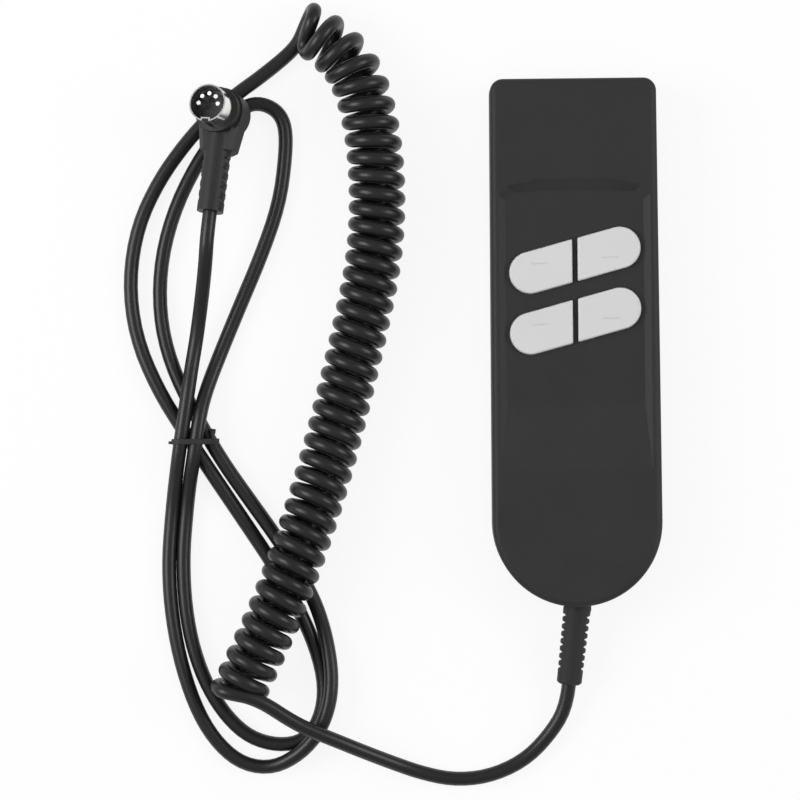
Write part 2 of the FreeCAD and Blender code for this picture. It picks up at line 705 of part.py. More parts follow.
def pan_screw(place, head, head_height, shank, length, point_up):
    """Plain screw with a cross-recessed flat head; the shank points up or down from under the head."""
    way = 1 if point_up else -1
    head_solid = Part.makeCylinder(head / 2, head_height, place, Vector(0, 0, -way))
    shank_solid = Part.makeCylinder(shank / 2, length, place, Vector(0, 0, way))
    screw = head_solid.fuse(shank_solid).removeSplitter()
    drive_length = head * size("drive_length_share")
    drive_width = head * size("drive_width_share")
    drive_depth = head_height * size("drive_depth_share")
    face = place.z - way * head_height
    bottom = face if point_up else face - drive_depth
    for across, along in ((drive_length, drive_width), (drive_width, drive_length)):
        corner = Vector(place.x - across / 2, place.y - along / 2, bottom)
        screw = screw.cut(Part.makeBox(across, along, drive_depth, corner))
    return screw


board_screws = []
for across, up in board_points():
    seat = Vector(worth(across), worth(up), worth(BOARD_FACE))
    board_screws.append(pan_screw(seat, size("board_head_diameter"), size("board_head_height"),
                                  size("board_screw_diameter"), size("board_screw_length"), False))
feature_of("board_screws", Part.makeCompound(board_screws))
case_screws = []
for across, up in screw_points():
    seat = Vector(worth(across), worth(up), size("screw_recess") + size("screw_head_height"))
    case_screws.append(pan_screw(seat, size("screw_head_diameter"), size("screw_head_height"),
                                 size("screw_diameter"), size("screw_length"), True))
feature_of("case_screws", Part.makeCompound(case_screws))

connector = doc.addObject("Part::Box", "board_connector")
connector.setExpression("Length", "Sizes.connector_width")
connector.setExpression("Width", "Sizes.connector_depth")
connector.setExpression("Height", "Sizes.connector_height")
connector.setExpression("Placement.Base.x", "-Sizes.connector_width / 2")
connector.setExpression("Placement.Base.y", "-Sizes.board_foot")
connector.setExpression("Placement.Base.z", BOARD_FACE)
named(connector, "board_connector")


def rounded_path(points):
    """Straight runs joined by tangent arcs; each arc is as large as its two runs allow."""
    corner_share = 0.45
    vectors = [Vector(*point) for point in points]
    edges = []
    radii = []
    start = vectors[0]
    for before, corner, after in zip(vectors, vectors[1:], vectors[2:]):
        way_in = (corner - before).normalize()
        way_out = (after - corner).normalize()
        turn = way_in.getAngle(way_out)
        reach = corner_share * min(corner.distanceToPoint(before), corner.distanceToPoint(after))
        radius = reach / math.tan(turn / 2)
        entry = corner - way_in * reach
        leave = corner + way_out * reach
        middle = corner + (way_out - way_in).normalize() * (radius / math.cos(turn / 2) - radius)
        edges.append(Part.LineSegment(start, entry).toShape())
        edges.append(Part.Arc(entry, middle, leave).toShape())
        radii.append(radius)
        start = leave
    edges.append(Part.LineSegment(start, vectors[-1]).toShape())
    return Part.Wire(edges), radii


def cord_tube(label, points, diameter):
    """Round tube along a route; prints its tightest bends and checks its volume."""
    wire, radii = rounded_path(points)
    way = Vector(*points[1]) - Vector(*points[0])
    ring = Part.Wire(Part.makeCircle(diameter / 2, Vector(*points[0]), way))
    tube = wire.makePipeShell([ring], True, False)
    expected = math.pi * diameter ** 2 / 4 * wire.Length
    print(f"{label}: length {wire.Length:.0f}, bend radii " + ", ".join(f"{r:.0f}" for r in radii))
    if abs(tube.Volume / expected - 1) > 0.01:
        raise RuntimeError(f"{label} has volume {tube.Volume:.0f}, expected {expected:.0f}")
    return tube


# Cord inside the case: the end of its sheath, and five cores that fan out to the connector.
# A core's place counts anticlockwise round the sheath from the top, so that no two cross.
inner_face = worth(FLANGE_END) - size("case_length") / 2
sheath_end = inner_face + size("sheath_inside")
axis_height = size("parting_height")
stub = Part.makeCylinder(size("cord_diameter") / 2, size("sheath_inside"),
                         Vector(0, inner_face, axis_height), Vector(0, 1, 0))
feature_of("cord_stub", stub)
connector_face = -size("board_foot")
connector_middle = worth(BOARD_FACE) + size("connector_height") / 2
CORE_STRAIGHT = 0.2
CORE_PLACES = (1, 2, 0, 3, 4)
cores = []
for number, place in enumerate(CORE_PLACES):
    angle = math.radians(90 + place * 360 / len(CORE_PLACES))
    ring_x = size("core_ring") * math.cos(angle)
    ring_z = axis_height + size("core_ring") * math.sin(angle)
    start_x = (number - (len(CORE_PLACES) - 1) / 2) * size("core_pitch")
    span = connector_face - sheath_end
    core_route = [
        (start_x, connector_face, connector_middle),
        (start_x, connector_face - CORE_STRAIGHT * span, connector_middle),
        (ring_x, sheath_end + CORE_STRAIGHT * span, ring_z),
        (ring_x, sheath_end, ring_z),
    ]
    cores.append(cord_tube(f"core {number + 1}", core_route, size("core_diameter")))
feature_of("core_wires", Part.makeCompound(cores))


def side_notches(body, name, turn, spine, first, notch, flare, pitch, count, reach):
    """Rows of flared notches down both sides of a round neck, with a smooth spine between them."""
    sketch = new_sketch(body, name, turn=turn)
    last = f"{first} + {notch}"
    draw_outline(sketch, [
        (first, f"{spine} / 2"),
        (last, f"{spine} / 2"),
        (f"{last} + {flare}", reach),
        (f"{first} - {flare}", reach),
    ])
    draw_outline(sketch, [
        (first, f"-{spine} / 2"),
        (f"{first} - {flare}", f"-({reach})"),
        (f"{last} + {flare}", f"-({reach})"),
        (last, f"-{spine} / 2"),
    ])
    repeat_along(body, pocket(body, sketch, both_ways=True), sketch, pitch, count)


# Strain relief: a groove in the case wall holds it, the notched tail leans and droops
relief = new_body("strain_relief")
relief.setExpression("Placement.Base.y", "-Sizes.case_length / 2")
relief.setExpression("Placement.Base.z", "Sizes.parting_height")
collar = new_sketch(relief, "relief_collar_section", "YZ_Plane")
root = "Sizes.relief_root_diameter / 2"
neck = "Sizes.relief_neck_diameter / 2"
draw_outline(collar, [
    ("-Sizes.relief_collar", "0"),
    (FLANGE_END, "0"),
    (FLANGE_END, FLANGE_RADIUS),
    (FLANGE_START, FLANGE_RADIUS),
    (FLANGE_START, neck),
    ("-Sizes.relief_clearance", neck),
    ("-Sizes.relief_clearance", root),
    ("-Sizes.relief_collar", root),
])
revolve(relief, collar)
tail_turn = Rotation(-(90 + size("relief_lean")), size("relief_droop"), 0)
tail = new_sketch(relief, "relief_tail_section", turn=tail_turn)
tail_end = "Sizes.relief_end_diameter / 2"
draw_outline(tail, [
    ("Sizes.relief_collar / 2", "0"),
    ("Sizes.relief_length", "0"),
    ("Sizes.relief_length", f"{tail_end} - Sizes.relief_lip_chamfer"),
    ("Sizes.relief_length - Sizes.relief_lip_chamfer", tail_end),
    ("Sizes.relief_length - Sizes.relief_lip", tail_end),
    ("Sizes.relief_collar / 2 + Sizes.relief_clearance", root),
    ("Sizes.relief_collar / 2", root),
])
revolve(relief, tail)
side_notches(relief, "relief_notches", tail_turn, "Sizes.relief_spine", "Sizes.relief_first_notch",
             "Sizes.relief_notch", "Sizes.relief_notch_flare", "Sizes.relief_notch_pitch",
             "Sizes.relief_notch_count", "Sizes.relief_root_diameter / 2")

def draw_cut_rectangle(sketch, half_width, below, above, cut):
    """Rectangle across a neck with its four corners cut off."""
    shoulder_line = f"{half_width} - {cut}"
    draw_outline(sketch, [
        (f"-({shoulder_line})", f"-({below})"),
        (shoulder_line, f"-({below})"),
        (half_width, f"{cut} - ({below})"),
        (half_width, f"{above} - {cut}"),
        (shoulder_line, above),
        (f"-({shoulder_line})", above),
        (f"-({half_width})", f"{above} - {cut}"),
        (f"-({half_width})", f"{cut} - ({below})"),
    ])


# Plug: moulded right-angle body, keyed metal shell, insert and five pins
plug_place = Placement(
    Vector(size("plug_x"), size("plug_y"), size("plug_z")),
    Rotation(size("plug_heading"), -size("plug_pitch"), size("plug_roll")))
plug = new_body("plug_body")
head = new_sketch(plug, "head_section", "XZ_Plane")
draw_outline(head, [
    ("0", "-Sizes.head_back"),
    ("Sizes.head_radius - Sizes.head_edge_radius", "-Sizes.head_back"),
    ("Sizes.head_radius", "Sizes.head_edge_radius - Sizes.head_back"),
    ("Sizes.head_radius", "Sizes.head_front - Sizes.head_collar_height"),
    ("Sizes.head_collar_radius", "Sizes.head_front - Sizes.head_collar_height"),
    ("Sizes.head_collar_radius", "Sizes.head_front"),
    ("0", "Sizes.head_front"),
], {1: ("x", "Sizes.head_radius - Sizes.head_edge_radius")})
revolve(plug, head, "V_Axis")
shoulder_stations = [
    ("Sizes.shoulder_start", "Sizes.shoulder_root_half", "0"),
    ("Sizes.shoulder_length", "Sizes.shoulder_end_half", "0"),
    ("Sizes.shoulder_length + Sizes.shoulder_tip", "Sizes.shoulder_end_half", "Sizes.shoulder_tip"),
]
shoulder_sections = []
for number, (along, half_width, inset) in enumerate(shoulder_stations, start=1):
    section = new_sketch(plug, f"shoulder_section_{number}", "YZ_Plane", lift=along)
    draw_cut_rectangle(section, f"{half_width} - {inset}", f"Sizes.shoulder_back - {inset}",
                       f"Sizes.shoulder_front - {inset}", "Sizes.shoulder_cut")
    shoulder_sections.append(section)
shoulder = plug.newObject("PartDesign::AdditiveLoft", "shoulder")
shoulder.Profile = shoulder_sections[0]
shoulder.Sections = shoulder_sections[1:]
shoulder.Ruled = True
doc.recompute()
arm = new_sketch(plug, "neck_section", "XZ_Plane")
draw_outline(arm, [
    ("0", "0"),
    ("Sizes.neck_length", "0"),
    ("Sizes.neck_length", "Sizes.neck_end_radius"),
    ("0", "Sizes.neck_radius"),
])
revolve(plug, arm)
side_notches(plug, "neck_notches", None, "Sizes.neck_spine", "Sizes.neck_first_notch",
             "Sizes.neck_notch", "Sizes.neck_notch_flare", "Sizes.neck_notch_pitch",
             "Sizes.neck_notch_count", "Sizes.neck_radius")
plug.Placement = plug_place


def keyed_disc(radius, half_key, key_floor, bottom, height):
    """Disc with a straight keyway cut towards the neck."""
    disc = Part.makeCylinder(radius, height, Vector(0, 0, bottom))
    slot = Part.makeBox(radius, 2 * half_key, height, Vector(key_floor, -half_key, bottom))
    return disc.cut(slot)


skin = size("shell_thickness")
gap = size("insert_clearance")
key_floor = size("shell_radius") - size("keyway_depth")
half_key = size("keyway_width") / 2
head_front = size("head_front")
inner_radius = size("shell_radius") - skin
outer_form = keyed_disc(size("shell_radius"), half_key, key_floor, head_front, size("shell_height"))
inner_form = keyed_disc(inner_radius, half_key + skin, key_floor - skin, head_front,
                        size("shell_height"))
feature_of("plug_shell", outer_form.cut(inner_form), plug_place)
insert = keyed_disc(inner_radius - gap, half_key + skin + gap, key_floor - skin - gap, head_front,
                    size("insert_height"))
pins = []
PIN_COUNT = 5
pin_length = size("shell_height") - size("pin_below_rim")
for step in range(PIN_COUNT):
    angle = math.radians(90 + 180 / (PIN_COUNT - 1) * step)
    foot = Vector(size("pin_circle") * math.cos(angle), size("pin_circle") * math.sin(angle),
                  head_front)
    pins.append(Part.makeCylinder(size("pin_diameter") / 2, pin_length, foot))
    hole = Part.makeCylinder(size("pin_diameter") / 2 + size("pin_clearance"),
                             size("insert_height"), foot)
    insert = insert.cut(hole)
feature_of("plug_insert", insert, plug_place)
feature_of("plug_pins", Part.makeCompound(pins), plug_place)

# Free cord: plain lead, curly stretch as one solid of its outer shape, plain loops
feature_of("cord_lead", cord_tube("lead", LEAD_ROUTE, size("cord_diameter")))
feature_of("cord_coil", cord_tube("coil", COIL_ROUTE, size("coil_diameter")))
feature_of("cord_loops", cord_tube("loops", LOOP_ROUTE, size("cord_diameter")))

# Twist tie: a flat band drawn round the four strands, with a short twisted tail
strands = [Vector(x, size("tie_place"), z) for x, z in TIE_STRANDS]
belt = Part.Wire(Part.makePolygon(strands + strands[:1]).Edges)
inside = size("cord_diameter") / 2 + size("tie_slack")
inner_loop = belt.makeOffset2D(inside)
outer_loop = belt.makeOffset2D(inside + size("tie_thickness"))
band_face = Part.Face(outer_loop).cut(Part.Face(inner_loop))
band = band_face.extrude(Vector(0, size("tie_width"), 0))
tail_start = Vector(band.BoundBox.XMax - size("tie_thickness") / 2,
                    size("tie_place") + size("tie_width") / 2, TIE_STRANDS[1][1])
tail_angle = math.radians(size("tie_tail_angle"))
twist = Part.makeCylinder(size("tie_width") / 2, size("tie_tail"), tail_start,
                          Vector(math.cos(tail_angle), math.sin(tail_angle), 0))
feature_of("twist_tie", band.fuse(twist).removeSplitter())

doc.recompute()
for thing in doc.Objects:
    if "Invalid" in thing.State or "Error" in thing.State:
        raise RuntimeError(f"{thing.Label} failed: {thing.State}")
for subpart in subparts:
    if subpart.Shape.isNull() or not subpart.Shape.isValid() or not subpart.Shape.Solids:
        raise RuntimeError(f"{subpart.Label} has no valid shape")
for subpart in subparts:
    subpart.Shape.exportStep(f"parts/{subpart.Label}.step")
print(len(subparts), "sub-parts written")
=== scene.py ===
"""Looks of a wired handset: dark two-part case, four light keys, curly cord, tied loops, round plug.

Everything is in metres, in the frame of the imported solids: +X to the handset's right, +Y to its top
end, +Z out of its key face.
"""

import logging
import math
from collections.abc import Callable
from dataclasses import dataclass, field
from enum import Enum

import bmesh
import bpy
from mathutils import Euler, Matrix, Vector


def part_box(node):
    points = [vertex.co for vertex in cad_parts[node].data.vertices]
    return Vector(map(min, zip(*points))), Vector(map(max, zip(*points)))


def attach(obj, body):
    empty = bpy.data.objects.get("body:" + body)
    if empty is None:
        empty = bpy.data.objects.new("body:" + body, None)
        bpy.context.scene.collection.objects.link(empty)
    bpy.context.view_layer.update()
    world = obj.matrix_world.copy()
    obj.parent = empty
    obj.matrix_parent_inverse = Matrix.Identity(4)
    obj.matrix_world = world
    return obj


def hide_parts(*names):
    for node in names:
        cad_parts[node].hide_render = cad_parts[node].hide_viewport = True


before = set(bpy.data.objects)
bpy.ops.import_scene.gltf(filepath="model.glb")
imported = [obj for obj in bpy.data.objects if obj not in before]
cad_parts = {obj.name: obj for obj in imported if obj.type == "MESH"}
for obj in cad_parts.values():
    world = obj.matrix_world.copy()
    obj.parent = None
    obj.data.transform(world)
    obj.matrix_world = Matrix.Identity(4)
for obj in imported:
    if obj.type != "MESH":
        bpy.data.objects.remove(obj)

log = logging.getLogger("handset")

Point = tuple[float, float, float]
Colour = tuple[float, float, float]

WHITE: Colour = (1.0, 1.0, 1.0)


class Body(Enum):
    """Rigid bodies that pieces ride on."""

    HOUSING = "housing"
    UPPER_LEFT = "upper_left_key"
    UPPER_RIGHT = "upper_right_key"
    LOWER_LEFT = "lower_left_key"
    LOWER_RIGHT = "lower_right_key"


KEYS = (Body.UPPER_LEFT, Body.UPPER_RIGHT, Body.LOWER_LEFT, Body.LOWER_RIGHT)


def select(*things: bpy.types.Object) -> None:
    """Select these objects and nothing else, and make the first one active.

    Args:
        things: The objects; none of them leaves nothing selected.
    """
    bpy.ops.object.select_all(action="DESELECT")
    for thing in things:
        thing.select_set(True)
    if things:
        bpy.context.view_layer.objects.active = things[0]


class Value:
    """A number that varies over a surface: one socket of a tree of nodes, with arithmetic."""

    def __init__(self, nodes: "Nodes", socket: bpy.types.NodeSocket) -> None:
        """Keep the tree that the socket belongs to."""
        self.nodes = nodes
        self.socket = socket

    def _math(self, operation: str, other: "Value | float") -> "Value":
        """Add one Math node.

        Args:
            operation: The node's operation.
            other: What the value is worked together with.

        Returns:
            The node's result.
        """
        made = self.nodes.add("ShaderNodeMath", {"operation": operation}, {0: self, 1: other})
        return Value(self.nodes, made.outputs[0])

    def __add__(self, other: "Value | float") -> "Value":
        """Sum."""
        return self._math("ADD", other)

    __radd__ = __add__

    def __mul__(self, other: "Value | float") -> "Value":
        """Product."""
        return self._math("MULTIPLY", other)

    __rmul__ = __mul__

    def largest(self, other: "Value | float") -> "Value":
        """The larger of two values."""
        return self._math("MAXIMUM", other)


class Nodes:
    """A tree of nodes under construction, of a material or of the light all round."""

    NOISE_ROUGHNESS = 0.55

    def __init__(self, owner: bpy.types.Material | bpy.types.World) -> None:
        """Start with an empty tree.

        Args:
            owner: The material or the world that the tree belongs to.
        """
        owner.use_nodes = True
        self.tree = owner.node_tree
        self.tree.nodes.clear()

    def add(self, kind: str, settings: dict | None = None, inputs: dict | None = None) -> bpy.types.Node:
        """Add a node.

        Args:
            kind: The node's type.
            settings: Its properties; "stops" gives a ramp's two places and shades.
            inputs: Numbers, colours, sockets or values for its inputs, by name or number.

        Returns:
            The node.
        """
        made = self.tree.nodes.new(kind)
        for key, value in (settings or {}).items():
            if key == "stops":
                for element, (place, shade) in zip(made.color_ramp.elements, value):
                    element.position = place
                    element.color = (shade, shade, shade, 1)
            else:
                setattr(made, key, value)
        for key, value in (inputs or {}).items():
            self.plug(made.inputs[key], value)
        return made

    def plug(self, socket: bpy.types.NodeSocket, value: object) -> None:
        """Link a value to a socket, or set the socket's own number or colour.

        Args:
            socket: The socket that takes it.
            value: A value, another node's socket, a colour or a number.
        """
        if isinstance(value, Value):
            self.tree.links.new(value.socket, socket)
        elif isinstance(value, bpy.types.NodeSocket):
            self.tree.links.new(value, socket)
        elif isinstance(value, tuple) and socket.type == "RGBA":
            socket.default_value = (*value, 1)
        else:
            socket.default_value = value

    def noise(self, grain: float, detail: int, stretch: Point = (1, 1, 1)) -> Value:
        """Noise over the piece.

        Args:
            grain: Size of its features, in metres.
            detail: How many finer layers it has.
            stretch: How much longer the features are along each axis.

        Returns:
            The noise, from 0 to 1.
        """
        place = self.add("ShaderNodeTexCoord").outputs["Object"]
        scale = tuple(1 / (grain * part) for part in stretch)
        moved = self.add("ShaderNodeMapping", {}, {"Vector": place, "Scale": scale})
        made = self.add("ShaderNodeTexNoise", {}, {
            "Vector": moved.outputs[0], "Scale": 1.0, "Detail": detail,
            "Roughness": self.NOISE_ROUGHNESS})
        return Value(self, made.outputs["Fac"])

    def ramp(self, value: Value, stops: list[tuple[float, float]]) -> Value:
        """Reshape a value by a ramp of two places and shades."""
        made = self.add("ShaderNodeValToRGB", {"stops": stops}, {"Fac": value})
        return Value(self, made.outputs["Color"])

    def blend(self, share: Value, first: Colour, second: Colour) -> bpy.types.NodeSocket:
        """Mix two colours.

        Args:
            share: How much of the second colour there is.
            first: The colour where the share is nought.
            second: The colour where the share is one.

        Returns:
            The mixed colour's socket.
        """
        factor, colour_a, colour_b, result = 0, 6, 7, 2
        made = self.add("ShaderNodeMix", {"data_type": "RGBA"}, {
            factor: share, colour_a: first, colour_b: second})
        return made.outputs[result]


class Recipe(Nodes):
    """One material under construction."""

    def __init__(self, name: str) -> None:
        """Start a material with its output and its main shader.

        Args:
            name: The material's name.
        """
        self.material = bpy.data.materials.new(name)
        super().__init__(self.material)
        self.output = self.add("ShaderNodeOutputMaterial")
        self.shader = self.add("ShaderNodeBsdfPrincipled")
        self.show(self.shader)

    def show(self, shader: bpy.types.Node) -> None:
        """Make a shader the one that the surface shows."""
        self.plug(self.output.inputs["Surface"], shader.outputs[0])

    def set(self, **sockets: object) -> None:
        """Set the main shader's sockets; underscores in the names stand for spaces."""
        for name, value in sockets.items():
            self.plug(self.shader.inputs[name.replace("_", " ")], value)

    def relief(self, height: Value, depth: float) -> None:
        """Raise the surface by a height value, to a depth in metres."""
        bump = self.add("ShaderNodeBump", {}, {"Height": height, "Distance": depth, "Strength": 1.0})
        self.set(Normal=bump.outputs[0])


def toned(colour: Colour, factor: float) -> Colour:
    """A colour with each part multiplied by a factor."""
    return tuple(min(1.0, part * factor) for part in colour)


@dataclass(frozen=True)
class Moulding:
    """Moulded plastic or rubber: fine spark texture, faint mottling in colour and gloss.

    Attributes:
        slot: The finish's name in the record.
        colour: Its colour.
        roughness: Its mean roughness.
        grain: Size of the spark texture.
        depth: Height of the spark texture.
        mottle: Share by which the colour strays.
        shine: Strength of its reflection.
        cloud: Size of the mottling's clouds.
        speck: Size of the mottling's specks.
        clouded: Share of the clouds in the mottling.
        mottle_span: Where the mottling's colour starts and stops changing.
        cloud_gloss: How much the clouds change the roughness.
        grain_gloss: How much the spark texture changes the roughness.
        speck_height: Height of the specks as a share of the spark texture's.
    """

    slot: str
    colour: Colour
    roughness: float
    grain: float = 0.0006
    depth: float = 0.00003
    mottle: float = 0.06
    shine: float = 0.5
    cloud: float = 0.018
    speck: float = 0.0019
    clouded: float = 0.7
    mottle_span: tuple[float, float] = (0.35, 0.65)
    cloud_gloss: float = 0.06
    grain_gloss: float = 0.04
    speck_height: float = 0.6

    def material(self) -> bpy.types.Material:
        """Build the material.

        Returns:
            The material, named after the finish's slot.
        """
        recipe = Recipe(self.slot)
        cloud = recipe.noise(self.cloud, detail=4)
        fine = recipe.noise(self.grain, detail=2)
        speck = recipe.noise(self.speck, detail=3)
        start, stop = self.mottle_span
        mottling = recipe.ramp(cloud * self.clouded + speck * (1 - self.clouded),
                               [(start, 0.0), (stop, 1.0)])
        smoothest = self.roughness - (self.cloud_gloss + self.grain_gloss) / 2
        recipe.set(Base_Color=recipe.blend(
            mottling, toned(self.colour, 1 - self.mottle), toned(self.colour, 1 + self.mottle)))
        recipe.set(Roughness=smoothest + cloud * self.cloud_gloss + fine * self.grain_gloss)
        recipe.set(Specular_IOR_Level=self.shine)
        recipe.relief(fine + speck * self.speck_height, self.depth)
        return recipe.material


@dataclass(frozen=True)
class Plated:
    """Bright or dull metal: fine drawing lines and cloudy gloss.

    Attributes:
        slot: The finish's name in the record.
        colour: Its colour.
        roughness: About its mean roughness.
        cloud: Size of the clouds.
        line: Width of the drawing lines.
        streak: How much longer the lines are along each axis.
        depth: Height of the lines.
        dulled: Share of the colour that is left between the clouds.
        polish: How far the smoothest places lie below the roughness.
        gloss_span: How much the clouds and the lines each change the roughness.
    """

    slot: str
    colour: Colour
    roughness: float
    cloud: float = 0.004
    line: float = 0.0002
    streak: Point = (1, 1, 8)
    depth: float = 0.000006
    dulled: float = 0.9
    polish: float = 0.04
    gloss_span: float = 0.05

    def material(self) -> bpy.types.Material:
        """Build the material.

        Returns:
            The material, named after the finish's slot.
        """
        recipe = Recipe(self.slot)
        cloud = recipe.noise(self.cloud, detail=3)
        lines = recipe.noise(self.line, detail=2, stretch=self.streak)
        recipe.set(Base_Color=recipe.blend(cloud, toned(self.colour, self.dulled), self.colour))
        smoothest = self.roughness - self.polish
        recipe.set(Metallic=1.0, Roughness=smoothest + cloud * self.gloss_span + lines * self.gloss_span)
        recipe.relief(lines, self.depth)
        return recipe.material


Finish = Moulding | Plated

CASE_GREY = Moulding("case_plastic", (0.0176, 0.0178, 0.0185), 0.58,
                     grain=0.0007, depth=0.00002, mottle=0.08, shine=0.33)
KEY_GREY = Moulding("key_plastic", (0.535, 0.54, 0.535), 0.42, grain=0.0012, depth=0.00001, mottle=0.02)
CORD_BLACK = Moulding("cord_jacket", (0.0085, 0.0085, 0.009), 0.36,
                      grain=0.0009, depth=0.00001, mottle=0.08, shine=0.42)
RELIEF_BLACK = Moulding("relief_rubber", (0.0165, 0.0165, 0.017), 0.62, depth=0.00002, shine=0.35)
PLUG_BLACK = Moulding("plug_moulding", (0.0125, 0.0125, 0.013), 0.5, depth=0.00002, shine=0.4)
INSERT_BLACK = Moulding("insert_plastic", (0.008, 0.008, 0.009), 0.5, grain=0.0005, depth=0.00001)
TIE_BLACK = Moulding("tie_plastic", (0.012, 0.012, 0.013), 0.6, grain=0.0004, depth=0.00001)
BRIGHT_NICKEL = Plated("plug_metal", (0.93, 0.925, 0.91), 0.14)
PIN_NICKEL = Plated("pin_metal", (0.97, 0.965, 0.95), 0.3)
ZINC = Plated("screw_steel", (0.62, 0.62, 0.63), 0.32)
TINNED = Plated("terminal_metal", (0.75, 0.74, 0.70), 0.3)
SOLDER_MASK = Moulding("board_laminate", (0.02, 0.14, 0.05), 0.35, grain=0.002, depth=0.00001)
SWITCH_BLACK = Moulding("switch_plastic", (0.02, 0.02, 0.02), 0.4)
PLUNGER_RED = Moulding("plunger_plastic", (0.4, 0.04, 0.03), 0.4)
CREAM = Moulding("connector_plastic", (0.72, 0.68, 0.56), 0.45)
CORE_RED = Moulding("core_insulation", (0.4, 0.05, 0.04), 0.4)


@dataclass
class Dresser:
    """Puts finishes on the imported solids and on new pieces, and seats new pieces on their bodies."""

    made: dict[str, bpy.types.Material] = field(default_factory=dict)

    def paint(self, thing: bpy.types.Object, look: Finish) -> None:
        """Give every slot of an object one finish, whose material is made once.

        Args:
            thing: The object.
            look: The finish.
        """
        if look.slot not in self.made:
            self.made[look.slot] = look.material()
        material = self.made[look.slot]
        if not thing.material_slots:
            thing.data.materials.append(material)
        for slot in thing.material_slots:
            slot.material = material

    def seat(self, piece: bpy.types.Object, body: Body, look: Finish, *nodes: str) -> None:
        """Finish a new piece, ride it on its body and hide the solids it stands for.

        Args:
            piece: The new piece.
            body: The body it rides on.
            look: Its finish.
            nodes: The solids that it replaces.
        """
        self.paint(piece, look)
        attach(piece, body.value)
        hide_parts(*nodes)


@dataclass(frozen=True)
class Softbox:
    """Square soft lamp.

    Attributes:
        name: The lamp's name.
        place: Where it stands.
        size: Its side length.
        power: Its power in watts.
        mirrored: Whether glossy surfaces show it as a highlight.
    """

    name: str
    place: Point
    size: float
    power: float
    mirrored: bool = True


@dataclass
class Studio:
    """Camera straight above, pale floor, soft lamps left, right, beyond the top end and overhead.

    Attributes:
        eye: Where the camera stands.
        roll: Its small turn about its own axis, in radians.
        lens: Its focal length, in millimetres.
        sensor: Width of its sensor, in millimetres.
        reach: How far it sees.
        floor_size: Side length of the floor.
        floor_height: Height of the floor, just under the object.
        floor_shade: The floor's shade, from black to white.
        floor_roughness: The floor's roughness.
        floor_shine: Strength of the floor's reflection.
        glow: How far the floor is lifted to white where it is looked at.
        dome: Strength of the light all round.
        lamps: The soft lamps.
    """

    eye: Point = (-0.0606, -0.01905, 1.5)
    roll: float = 0.01117
    lens: float = 193.76
    sensor: float = 36.0
    reach: float = 10.0
    floor_size: float = 6.0
    floor_height: float = -0.0002
    floor_shade: float = 0.78
    floor_roughness: float = 0.9
    floor_shine: float = 0.1
    glow: float = 0.87
    dome: float = 0.42
    lamps: tuple[Softbox, ...] = (
        Softbox("left_softbox", (-1.2, 0.12, 0.98), 0.85, 13.0),
        Softbox("right_softbox", (1.15, 0.1, 0.95), 0.75, 8.0),
        Softbox("far_softbox", (0.0, 1.25, 0.85), 0.7, 4.0, mirrored=False),
        Softbox("overhead", (-0.06, -0.02, 2.3), 1.0, 9.0, mirrored=False),
    )

    def build(self) -> None:
        """Make the camera, the floor, the lamps and the light all round."""
        self._camera()
        self._floor()
        for softbox in self.lamps:
            self._lamp(softbox)
        self._world()
        bpy.context.scene.view_settings.view_transform = "Standard"

    def _camera(self) -> None:
        """Camera above the middle of the picture, turned by the picture's small roll."""
        data = bpy.data.cameras.new("camera")
        data.lens = self.lens
        data.sensor_width = self.sensor
        data.clip_end = self.reach
        camera = bpy.data.objects.new("camera", data)
        camera.location = self.eye
        camera.rotation_euler = (0, 0, -self.roll)
        bpy.context.scene.collection.objects.link(camera)
        bpy.context.scene.camera = camera

    def _floor(self) -> None:
        """Pale floor that keeps a soft shadow and shows white to the camera."""
        select()
        bpy.ops.mesh.primitive_plane_add(size=self.floor_size, location=(0, 0, self.floor_height))
        floor = bpy.context.object
        floor.name = "floor"
        recipe = Recipe("floor_paper")
        recipe.set(Base_Color=(self.floor_shade,) * 3)
        recipe.set(Roughness=self.floor_roughness, Specular_IOR_Level=self.floor_shine)
        rays = recipe.add("ShaderNodeLightPath")
        seen = Value(recipe, rays.outputs["Is Camera Ray"])
        for ray in ("Is Glossy Ray", "Is Transmission Ray"):
            seen = seen.largest(Value(recipe, rays.outputs[ray]))
        glow = recipe.add("ShaderNodeEmission", {}, {"Color": WHITE, "Strength": 1.0})
        recipe.show(recipe.add("ShaderNodeMixShader", {}, {
            0: seen * self.glow, 1: recipe.shader.outputs[0], 2: glow.outputs[0]}))
        floor.data.materials.append(recipe.material)

    def _lamp(self, softbox: Softbox) -> None:
        """Lamp aimed at the middle of the object.

        Args:
            softbox: Its name, place, size and power.
        """
        data = bpy.data.lights.new(softbox.name, "AREA")
        data.size = softbox.size
        data.energy = softbox.power
        lamp = bpy.data.objects.new(softbox.name, data)
        lamp.location = softbox.place
        aim = Vector((self.eye[0], self.eye[1], 0)) - Vector(softbox.place)
        lamp.rotation_euler = aim.to_track_quat("-Z", "Y").to_euler()
        lamp.visible_glossy = softbox.mirrored
        bpy.context.scene.collection.objects.link(lamp)

    def _world(self) -> None:
        """Even pale light all round, and white where the camera looks past the floor."""
        world = bpy.data.worlds.new("room")
        nodes = Nodes(world)
        rays = nodes.add("ShaderNodeLightPath")
        light = nodes.add("ShaderNodeBackground", {}, {"Color": WHITE, "Strength": self.dome})
        white = nodes.add("ShaderNodeBackground", {}, {"Color": WHITE, "Strength": 1.0})
        mixed = nodes.add("ShaderNodeMixShader", {}, {
            0: rays.outputs["Is Camera Ray"], 1: light.outputs[0], 2: white.outputs[0]})
        nodes.add("ShaderNodeOutputWorld", {}, {"Surface": mixed.outputs[0]})
        bpy.context.scene.world = world


